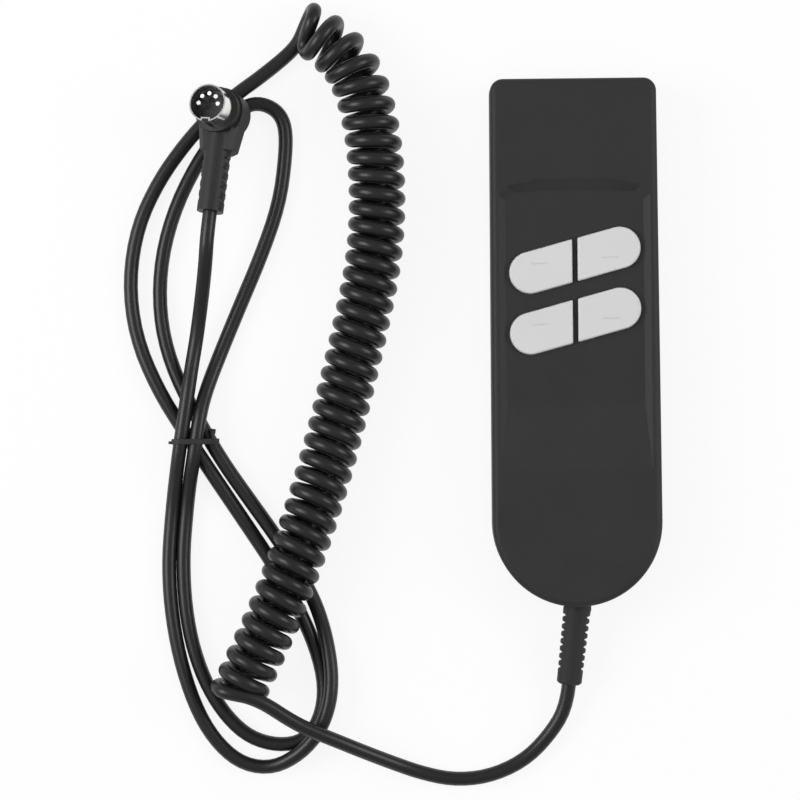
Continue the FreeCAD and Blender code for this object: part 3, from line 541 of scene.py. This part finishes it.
# Control points of the plain lead, from the strain relief to the curly stretch's lower end.
LEAD_ROUTE = (
    (-0.00304, -0.11798, 0.00617), (-0.00396, -0.12617, 0.00501), (-0.0094, -0.1354, 0.0033),
    (-0.0182, -0.1446, 0.00255), (-0.0304, -0.1502, 0.00255), (-0.0429, -0.1514, 0.00255),
    (-0.0544, -0.1489, 0.00255), (-0.0648, -0.1449, 0.005), (-0.0751, -0.1404, 0.0102),
    (-0.0847, -0.1361, 0.0135), (-0.0929, -0.1326, 0.0155), (-0.0997, -0.1289, 0.0172),
    (-0.1078, -0.1232, 0.0193), (-0.1137, -0.1205, 0.0207), (-0.1185, -0.1195, 0.0211),
)

# Control points of the curly stretch's axis, from its upper to its lower end.
COIL_ROUTE = (
    (-0.0878, 0.1076, 0.0101), (-0.0797, 0.1018, 0.0101), (-0.073, 0.0912, 0.0101),
    (-0.0689, 0.0738, 0.0101), (-0.0674, 0.053, 0.0101), (-0.0687, 0.0309, 0.0101),
    (-0.0735, 0.0081, 0.0101), (-0.0792, -0.0147, 0.0101), (-0.0854, -0.0381, 0.0109),
    (-0.0925, -0.0608, 0.0138), (-0.1014, -0.0851, 0.015), (-0.1093, -0.1026, 0.0148),
    (-0.1179, -0.1202, 0.0146),
)

# Control points of the tied loops, from the curly stretch's upper end to the plug.
LOOP_ROUTE = (
    (-0.0927, 0.1034, 0.0085), (-0.0919, 0.1063, 0.0092), (-0.0908, 0.1093, 0.0122),
    (-0.0894, 0.1128, 0.0134), (-0.0885, 0.1162, 0.0108), (-0.0893, 0.1167, 0.0062),
    (-0.0909, 0.1138, 0.0030), (-0.0925, 0.1102, 0.0026), (-0.0941, 0.1064, 0.00255),
    (-0.0964, 0.1033, 0.00255), (-0.1, 0.1, 0.00255),
    (-0.1045, 0.0964, 0.00255), (-0.1098, 0.0924, 0.00255),
    (-0.1145, 0.0892, 0.00255), (-0.1247, 0.0813, 0.00255), (-0.1344, 0.0708, 0.00255),
    (-0.1439, 0.0577, 0.00255), (-0.1514, 0.0418, 0.00255), (-0.1544, 0.0227, 0.00255),
    (-0.1522, 0.0035, 0.00255), (-0.1447, -0.0146, 0.00375), (-0.1354, -0.0297, 0.00375),
    (-0.1259, -0.0444, 0.00375), (-0.1153, -0.0605, 0.00255), (-0.1051, -0.076, 0.00255),
    (-0.0965, -0.0914, 0.00255), (-0.0904, -0.1057, 0.00255), (-0.0876, -0.1189, 0.00255),
    (-0.0897, -0.1304, 0.00255), (-0.0957, -0.1375, 0.00255), (-0.1047, -0.1387, 0.00255),
    (-0.1144, -0.1357, 0.00255), (-0.1223, -0.1283, 0.00255), (-0.1288, -0.1178, 0.00255),
    (-0.1336, -0.1045, 0.00255), (-0.1362, -0.0892, 0.00255), (-0.1367, -0.0725, 0.00255),
    (-0.1353, -0.0572, 0.00255), (-0.1341, -0.0481, 0.0048), (-0.1323, -0.0383, 0.0091),
    (-0.1301, -0.0238, 0.0091), (-0.1278, -0.0148, 0.0056), (-0.1234, -0.0034, 0.00255),
    (-0.1162, 0.0136, 0.00255), (-0.108, 0.0323, 0.00255), (-0.1016, 0.0503, 0.00255),
    (-0.0993, 0.0677, 0.00255), (-0.0994, 0.0767, 0.00255), (-0.1019, 0.0817, 0.00255),
    (-0.1068, 0.0845, 0.00255), (-0.1121, 0.0844, 0.00255), (-0.1164, 0.0807, 0.00255),
    (-0.1215, 0.075, 0.00255), (-0.1287, 0.0668, 0.00255), (-0.1381, 0.049, 0.00255),
    (-0.1434, 0.0299, 0.00255), (-0.1439, 0.0104, 0.00255), (-0.1398, -0.007, 0.00255),
    (-0.1312, -0.0245, 0.00375), (-0.1227, -0.0396, 0.00375), (-0.1125, -0.0543, 0.00255),
    (-0.1019, -0.0694, 0.00255), (-0.0933, -0.0837, 0.00255), (-0.0891, -0.0938, 0.0036),
    (-0.0865, -0.1041, 0.0064), (-0.0852, -0.1148, 0.0076), (-0.0862, -0.1248, 0.0078),
    (-0.09, -0.1342, 0.0078), (-0.097, -0.1418, 0.0062), (-0.1066, -0.1467, 0.00255),
    (-0.117, -0.145, 0.00255), (-0.1256, -0.1376, 0.00255), (-0.1324, -0.1264, 0.00255),
    (-0.1378, -0.11, 0.00255), (-0.1409, -0.0926, 0.00255), (-0.1418, -0.0752, 0.00255),
    (-0.1403, -0.0578, 0.00255), (-0.1389, -0.0467, 0.005), (-0.137, -0.0341, 0.0091),
    (-0.134, -0.0155, 0.0091), (-0.1327, -0.0068, 0.0073), (-0.1312, 0.0015, 0.0069),
    (-0.1298, 0.0101, 0.009), (-0.1283, 0.0197, 0.0134), (-0.127, 0.0292, 0.0186),
    (-0.12624, 0.03835, 0.02129), (-0.12519, 0.04635, 0.01994),
)


@dataclass
class Cord:
    """The free cord: plain lead, curly stretch, tied loops, as one smooth line.

    Attributes:
        diameter: Across the cord.
        length: Along the whole cord; not used.
        turn_radius: From the curly stretch's axis to the cord's middle line.
        turns: How many turns the curly stretch has.
        first_angle: Where its first turn starts, in degrees.
        points_per_turn: Control points of one turn.
        mid_pitch: Rise of one turn away from the ends.
        fan_pitch: What is added to the rise at the upper end.
        fan_reach: How far down the upper end's larger rise goes.
        foot_pitch: What is added to the rise at the lower end.
        foot_pitch_reach: How far up the lower end's larger rise goes.
        top_lean: Twist of the turns off square at the upper end, in degrees.
        top_lean_reach: How far down that twist goes.
        foot_lean: Twist of the turns off square at the lower end, in degrees.
        foot_lean_reach: How far up that twist goes.
        pitch_samples: Places on the axis at which the turns are counted.
        way_window: Points of the axis on each side that give its direction.
        axis_steps: Steps of the axis between two control points.
        tube_steps: Steps of the cord between two control points.
        ring_steps: Steps round the cord.
    """

    diameter: float = 0.005
    length: float = 3.03
    turn_radius: float = 0.0074
    turns: float = 39.13
    first_angle: float = 130.0
    points_per_turn: int = 15
    mid_pitch: float = 0.0060
    fan_pitch: float = 0.0015
    fan_reach: float = 0.034
    foot_pitch: float = 0.0003
    foot_pitch_reach: float = 0.04
    top_lean: float = 9.0
    top_lean_reach: float = 0.012
    foot_lean: float = 7.0
    foot_lean_reach: float = 0.03
    pitch_samples: int = 2000
    way_window: int = 6
    axis_steps: int = 48
    tube_steps: int = 4
    ring_steps: int = 6

    def _curve(self, name: str, route: list[Point], steps: int, bevel: float = 0.0) -> bpy.types.Object:
        """Smooth open curve with a route as its control points.

        Args:
            name: The curve's name.
            route: Its control points.
            steps: Its steps between two control points.
            bevel: Radius of the tube round it, or nought for a bare line.

        Returns:
            The curve's object.
        """
        data = bpy.data.curves.new(name, "CURVE")
        data.dimensions = "3D"
        spline = data.splines.new("NURBS")
        spline.points.add(len(route) - 1)
        for point, place in zip(spline.points, route):
            point.co = (*place, 1)
        spline.order_u = 3
        spline.use_endpoint_u = True
        data.resolution_u = steps
        data.bevel_depth = bevel
        data.bevel_resolution = self.ring_steps
        data.use_fill_caps = bool(bevel)
        curve = bpy.data.objects.new(name, data)
        bpy.context.scene.collection.objects.link(curve)
        return curve

    def _axis(self) -> list[Vector]:
        """Find the smooth middle line of the curly stretch.

        Returns:
            Its points, from the lower to the upper end.
        """
        curve = self._curve("coil_axis", list(reversed(COIL_ROUTE)), self.axis_steps)
        bpy.context.view_layer.update()
        mesh = bpy.data.meshes.new_from_object(curve)
        points = [vertex.co.copy() for vertex in mesh.vertices]
        bpy.data.objects.remove(curve)
        return points

    def _fade(self, distance: float, reach: float) -> float:
        """What is left of an end's effect at a distance from it: one at the end, then less and less."""
        return math.exp(-((distance / reach) ** 2))

    def _pitch(self, from_top: float, from_foot: float) -> float:
        """Rise of one turn, larger where the turns fan out at the ends.

        Args:
            from_top: Distance along the axis from its upper end.
            from_foot: Distance along the axis from its lower end.

        Returns:
            The rise.
        """
        top = self.fan_pitch * self._fade(from_top, self.fan_reach)
        foot = self.foot_pitch * self._fade(from_foot, self.foot_pitch_reach)
        return self.mid_pitch + top + foot

    def _lean(self, from_top: float, from_foot: float) -> float:
        """Twist of the turns off square.

        Args:
            from_top: Distance along the axis from its upper end.
            from_foot: Distance along the axis from its lower end.

        Returns:
            The angle, in radians.
        """
        top = self.top_lean * self._fade(from_top, self.top_lean_reach)
        foot = self.foot_lean * self._fade(from_foot, self.foot_lean_reach)
        return math.radians(top + foot)

    def helix(self) -> list[Point]:
        """Wind the turns of the curly stretch round its axis.

        Returns:
            Their control points, from the lower to the upper end.
        """
        axis = self._axis()
        marks = [0.0]
        for start, end in zip(axis, axis[1:]):
            marks.append(marks[-1] + (end - start).length)
        whole = marks[-1]
        step = whole / self.pitch_samples
        natural = sum(step / self._pitch(whole - step * number, step * number)
                      for number in range(self.pitch_samples))
        stretch = natural / self.turns
        spread = 2 * math.pi / self.points_per_turn
        # A smooth line round a circle runs inside its control points, at this share of their radius.
        pull = 0.75 + 0.25 * math.cos(spread)
        reach = self.turn_radius / pull
        points = []
        along = 0.0
        index = 0
        for number in range(round(self.turns * self.points_per_turn) + 1):
            here = min(along, whole)
            while marks[index + 1] < here and index < len(marks) - 2:
                index += 1
            share = (here - marks[index]) / (marks[index + 1] - marks[index])
            middle = axis[index].lerp(axis[index + 1], share)
            before = axis[max(index - self.way_window, 0)]
            after = axis[min(index + 1 + self.way_window, len(axis) - 1)]
            way = (after - before).normalized()
            side = Vector((way.y, -way.x, 0)).normalized()
            side.rotate(Euler((0, 0, self._lean(whole - here, here))))
            top = side.cross(way).normalized()
            angle = math.radians(self.first_angle) + number * spread
            points.append(tuple(middle + reach * (math.cos(angle) * side + math.sin(angle) * top)))
            along += self._pitch(whole - along, along) * stretch / self.points_per_turn
        return points

    def build(self, dresser: Dresser, carried: list[bpy.types.Object]) -> bpy.types.Object:
        """Args:
            dresser: Gives the finish and seats the piece.
            carried: The pieces on the cord; not used.

        Returns:
            The cord's curve.
        """
        route = [*LEAD_ROUTE, *self.helix(), *LOOP_ROUTE]
        cord = self._curve("cord", route, self.tube_steps, self.diameter / 2)
        dresser.seat(cord, Body.HOUSING, CORD_BLACK, "cord_lead", "cord_coil", "cord_loops")
        return cord


@dataclass(frozen=True)
class Rounding:
    """Edges between two angles, in degrees, and how wide they are rounded."""

    least: float
    most: float
    width: float


@dataclass
class Rounded:
    """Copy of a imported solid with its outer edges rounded, for the soft light along them.

    Attributes:
        node: The solid.
        body: The body it rides on.
        look: Its finish.
        rounding: Which edges are rounded, and how wide.
        above: Share of the solid's height above which they are; below nought takes them all.
        spared: Radius round the solid's middle within which none is rounded.
        segments: Steps across a rounded edge.
        smooth_angle: Angle up to which the surface is smooth, in degrees.
        merge: Distance within which the solid's points are one point.
        flat_angle: Angle up to which faces are one face, in degrees.
        face_weight: How much large faces lead the shading.
    """

    node: str
    body: Body
    look: Finish
    rounding: Rounding
    above: float = -1.0
    spared: float = 0.0
    segments: int = 3
    smooth_angle: float = 28.0
    merge: float = 0.000002
    flat_angle: float = 0.4
    face_weight: int = 100

    def build(self, dresser: Dresser) -> bpy.types.Object:
        """Copy the solid's mesh, merge it, round its edges and shade it.

        Args:
            dresser: Gives the finish and seats the piece.

        Returns:
            The rounded piece.
        """
        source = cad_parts[self.node]
        piece = bpy.data.objects.new(f"{self.node}_rounded", source.data.copy())
        bpy.context.scene.collection.objects.link(piece)
        select(piece)
        bpy.ops.object.mode_set(mode="EDIT")
        bpy.ops.mesh.select_all(action="SELECT")
        bpy.ops.mesh.remove_doubles(threshold=self.merge)
        bpy.ops.mesh.dissolve_limited(angle_limit=math.radians(self.flat_angle))
        bpy.ops.mesh.select_mode(type="EDGE")
        self._select_edges(piece.data)
        bpy.ops.mesh.bevel(offset=self.rounding.width, segments=self.segments, affect="EDGES",
                           clamp_overlap=True)
        bpy.ops.object.mode_set(mode="OBJECT")
        bpy.ops.object.shade_smooth_by_angle(angle=math.radians(self.smooth_angle))
        bpy.ops.object.modifier_add(type="WEIGHTED_NORMAL")
        weighting = piece.modifiers[-1]
        weighting.keep_sharp = True
        weighting.weight = self.face_weight
        bpy.ops.object.modifier_apply(modifier=weighting.name)
        dresser.seat(piece, self.body, self.look, self.node)
        return piece

    def _select_edges(self, mesh: bpy.types.Mesh) -> None:
        """Select edges by angle, above a height and outside a spared circle round the middle.

        Args:
            mesh: The mesh in edit mode.
        """
        low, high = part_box(self.node)
        middle = (low + high) / 2
        floor = low.z + (high.z - low.z) * self.above
        bpy.ops.mesh.select_all(action="DESELECT")
        shape = bmesh.from_edit_mesh(mesh)
        for edge in shape.edges:
            angle = math.degrees(edge.calc_face_angle(0))
            outer = all(end.co.z > floor and (end.co.xy - middle.xy).length >= self.spared
                        for end in edge.verts)
            edge.select_set(outer and self.rounding.least < angle < self.rounding.most)
        bmesh.update_edit_mesh(mesh)


@dataclass
class Tie:
    """Flat tie pulled tight round the loops, with its ends twisted into a short stem.

    Attributes:
        strands: Places of the outermost cords across the bundle, sideways and up.
        along: Where the band lies along the bundle.
        reach: From a cord's middle line to the band.
        width: Width of the band.
        thickness: Thickness of the band.
        corner: How wide its edges are rounded.
        corner_segments: Steps across a rounded edge.
        corner_angle: Angle from which an edge is rounded, in degrees.
        smooth_angle: Angle up to which the surface is smooth, in degrees.
        sides: Steps round the band.
        stem_place: Where the twisted stem starts.
        stem_lean: Its turn on the floor, in degrees.
        stem_steps: How many steps it is drawn out in.
        stem_step: Length of one step.
        stem_turn: Twist of one step, in degrees.
        stem_layers: Its thickness in thicknesses of the band.
        stub_place: Where the cut end lies.
        stub_size: Size of the cut end.
        stub_tip: How much narrower and thinner its tip is.
    """

    strands: tuple[tuple[float, float], ...] = (
        (-0.1335, 0.00375), (-0.1266, 0.00375), (-0.1368, 0.0091), (-0.1314, 0.0091))
    along: float = -0.0336
    reach: float = 0.00265
    width: float = 0.0019
    thickness: float = 0.00045
    corner: float = 0.00012
    corner_segments: int = 2
    corner_angle: float = 40.0
    smooth_angle: float = 35.0
    sides: int = 72
    stem_place: Point = (-0.1261, -0.0324, 0.0068)
    stem_lean: float = -8.0
    stem_steps: int = 7
    stem_step: float = 0.00055
    stem_turn: float = 32.0
    stem_layers: float = 2.4
    stub_place: Point = (-0.1399, -0.03295, 0.0088)
    stub_size: Point = (0.0021, 0.0013, 0.0006)
    stub_tip: Point = (1, 0.7, 0.8)

    def build(self, dresser: Dresser) -> bpy.types.Object:
        """Make the band, its stem and its stub as one piece.

        Args:
            dresser: Gives the finish and seats the piece.

        Returns:
            The tie.
        """
        band = self._band()
        stem = self._stem()
        stub = self._stub()
        select(band, stem, stub)
        bpy.ops.object.join()
        bpy.ops.object.shade_smooth_by_angle(angle=math.radians(self.smooth_angle))
        dresser.seat(band, Body.HOUSING, TIE_BLACK, "twist_tie")
        return band

    def _band(self) -> bpy.types.Object:
        """Make the flat band, which lies against the outermost cords all the way round.

        Returns:
            The band.
        """
        select()
        bpy.ops.mesh.primitive_circle_add(vertices=self.sides, radius=1, rotation=(math.pi / 2, 0, 0))
        band = bpy.context.object
        band.name = "tie_band"
        bpy.ops.object.transform_apply(location=False, rotation=True, scale=False)
        for vertex in band.data.vertices:
            side, up = vertex.co.x, vertex.co.z
            x, z = max(self.strands, key=lambda strand: strand[0] * side + strand[1] * up)
            vertex.co = (x + self.reach * side, self.along, z + self.reach * up)
        bpy.ops.object.mode_set(mode="EDIT")
        bpy.ops.mesh.select_all(action="SELECT")
        bpy.ops.mesh.extrude_region_move(TRANSFORM_OT_translate={"value": (0, self.width, 0)})
        bpy.ops.mesh.select_all(action="SELECT")
        bpy.ops.mesh.normals_make_consistent(inside=False)
        bpy.ops.object.mode_set(mode="OBJECT")
        bpy.ops.object.modifier_add(type="SOLIDIFY")
        wall = band.modifiers[-1]
        wall.thickness = self.thickness
        wall.offset = 1
        bpy.ops.object.modifier_apply(modifier=wall.name)
        self._finish(band)
        return band

    def _stem(self) -> bpy.types.Object:
        """Make the two flat ends twisted together, drawn out step by step with a turn at each.

        Returns:
            The stem.
        """
        stem = self._block("tie_stem", (self.width, self.stem_step, self.stem_layers * self.thickness))
        for _ in range(self.stem_steps):
            self._select_face(stem.data, lambda middle: middle.y)
            bpy.ops.mesh.extrude_region_move(TRANSFORM_OT_translate={"value": (0, self.stem_step, 0)})
            bpy.ops.transform.rotate(value=math.radians(self.stem_turn), orient_axis="Y",
                                     center_override=(0, 0, 0))
        bpy.ops.object.mode_set(mode="OBJECT")
        stem.location = self.stem_place
        stem.rotation_euler = (0, 0, math.radians(self.stem_lean))
        self._finish(stem)
        return stem

    def _stub(self) -> bpy.types.Object:
        """Make the cut end of the band, which stands out at the other side and narrows to its tip.

        Returns:
            The stub.
        """
        stub = self._block("tie_stub", self.stub_size)
        self._select_face(stub.data, lambda middle: -middle.x)
        bpy.ops.transform.resize(value=self.stub_tip)
        bpy.ops.object.mode_set(mode="OBJECT")
        stub.location = self.stub_place
        self._finish(stub)
        return stub

    def _block(self, name: str, size: Point) -> bpy.types.Object:
        """Start a piece from a block and leave it in edit mode.

        Args:
            name: The piece's name.
            size: The block's size.

        Returns:
            The piece.
        """
        select()
        bpy.ops.mesh.primitive_cube_add(size=1)
        block = bpy.context.object
        block.name = name
        bpy.ops.object.mode_set(mode="EDIT")
        bpy.ops.transform.resize(value=size)
        return block

    def _select_face(self, mesh: bpy.types.Mesh, place: Callable[[Vector], float]) -> None:
        """Select only the face that lies farthest one way.

        Args:
            mesh: The mesh in edit mode.
            place: How far that way a face's middle lies.
        """
        bpy.ops.mesh.select_all(action="DESELECT")
        bpy.ops.mesh.select_mode(type="FACE")
        shape = bmesh.from_edit_mesh(mesh)
        farthest = max(shape.faces, key=lambda face: place(face.calc_center_median()))
        farthest.select_set(True)
        bmesh.update_edit_mesh(mesh)

    def _finish(self, part: bpy.types.Object) -> None:
        """Round a part's edges and set its place into its mesh.

        Args:
            part: The part, selected and active.
        """
        bpy.ops.object.modifier_add(type="BEVEL")
        bevel = part.modifiers[-1]
        bevel.width = self.corner
        bevel.segments = self.corner_segments
        bevel.angle_limit = math.radians(self.corner_angle)
        bpy.ops.object.modifier_apply(modifier=bevel.name)
        bpy.ops.object.transform_apply(location=True, rotation=True, scale=True)


@dataclass
class Handset:
    """The case, its keys and what lies inside it.

    Attributes:
        key_rim: How the edges of a key's top are rounded.
        key_rim_above: Share of a key's height above which they are.
        mark_radius: Radius round a key's middle within which its raised mark stays crisp.
        ribs: How the edges of the strain relief's ribs are rounded.
    """

    key_rim: Rounding = Rounding(30, 120, 0.00045)
    key_rim_above: float = 0.55
    mark_radius: float = 0.0045
    ribs: Rounding = Rounding(35, 130, 0.0003)

    def dress(self, dresser: Dresser) -> list[bpy.types.Object]:
        """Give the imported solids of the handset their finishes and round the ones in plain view.

        Args:
            dresser: Gives the finishes and seats the pieces.

        Returns:
            The four keys, and last the strain relief.
        """
        looks = {
            "front_shell": CASE_GREY,
            "rear_shell": CASE_GREY,
            "strain_relief": RELIEF_BLACK,
            "switch_cases": SWITCH_BLACK,
            "switch_terminals": TINNED,
            "circuit_board": SOLDER_MASK,
            "board_screws": ZINC,
            "case_screws": ZINC,
            "board_connector": CREAM,
            "cord_stub": CORD_BLACK,
            "core_wires": CORE_RED,
        }
        for key in KEYS:
            looks[key.value] = KEY_GREY
            looks[key.value.replace("_key", "_plunger")] = PLUNGER_RED
        for name, look in looks.items():
            dresser.paint(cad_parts[name], look)
        rounded = [Rounded(key.value, key, KEY_GREY, self.key_rim, self.key_rim_above, self.mark_radius)
                   for key in KEYS]
        rounded.append(Rounded("strain_relief", Body.HOUSING, RELIEF_BLACK, self.ribs))
        return [piece.build(dresser) for piece in rounded]


@dataclass
class Plug:
    """Right-angle round plug.

    Attributes:
        edges: How the edges of its moulded body are rounded.
    """

    edges: Rounding = Rounding(25, 130, 0.0003)

    def dress(self, dresser: Dresser) -> list[bpy.types.Object]:
        """Give the plug's solids their finishes and round its moulded body.

        Args:
            dresser: Gives the finishes and seats the pieces.

        Returns:
            The plug's visible pieces.
        """
        looks = {
            "plug_body": PLUG_BLACK,
            "plug_shell": BRIGHT_NICKEL,
            "plug_insert": INSERT_BLACK,
            "plug_pins": PIN_NICKEL,
        }
        for name, look in looks.items():
            dresser.paint(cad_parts[name], look)
        body = Rounded("plug_body", Body.HOUSING, PLUG_BLACK, self.edges).build(dresser)
        return [body, *(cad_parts[name] for name in ("plug_shell", "plug_insert", "plug_pins"))]


def report(pieces: list[bpy.types.Object]) -> None:
    """Log each piece's name and size.

    Args:
        pieces: The visible pieces.
    """
    bpy.context.view_layer.update()
    for piece in pieces:
        sides = " by ".join(f"{side * 1000:.1f}" for side in piece.dimensions)
        log.info("%s: %s mm", piece.name, sides)


def main() -> None:
    """Build the studio and the pieces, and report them."""
    logging.basicConfig(level=logging.INFO, format="%(name)s: %(message)s")
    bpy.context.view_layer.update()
    dresser = Dresser()
    Studio().build()
    *keys, relief = Handset().dress(dresser)
    plug = Plug().dress(dresser)
    tie = Tie().build(dresser)
    cord = Cord().build(dresser, [relief, *plug, tie])
    report([*keys, relief, *plug, tie, cord])


if __name__ == "__main__":
    main()
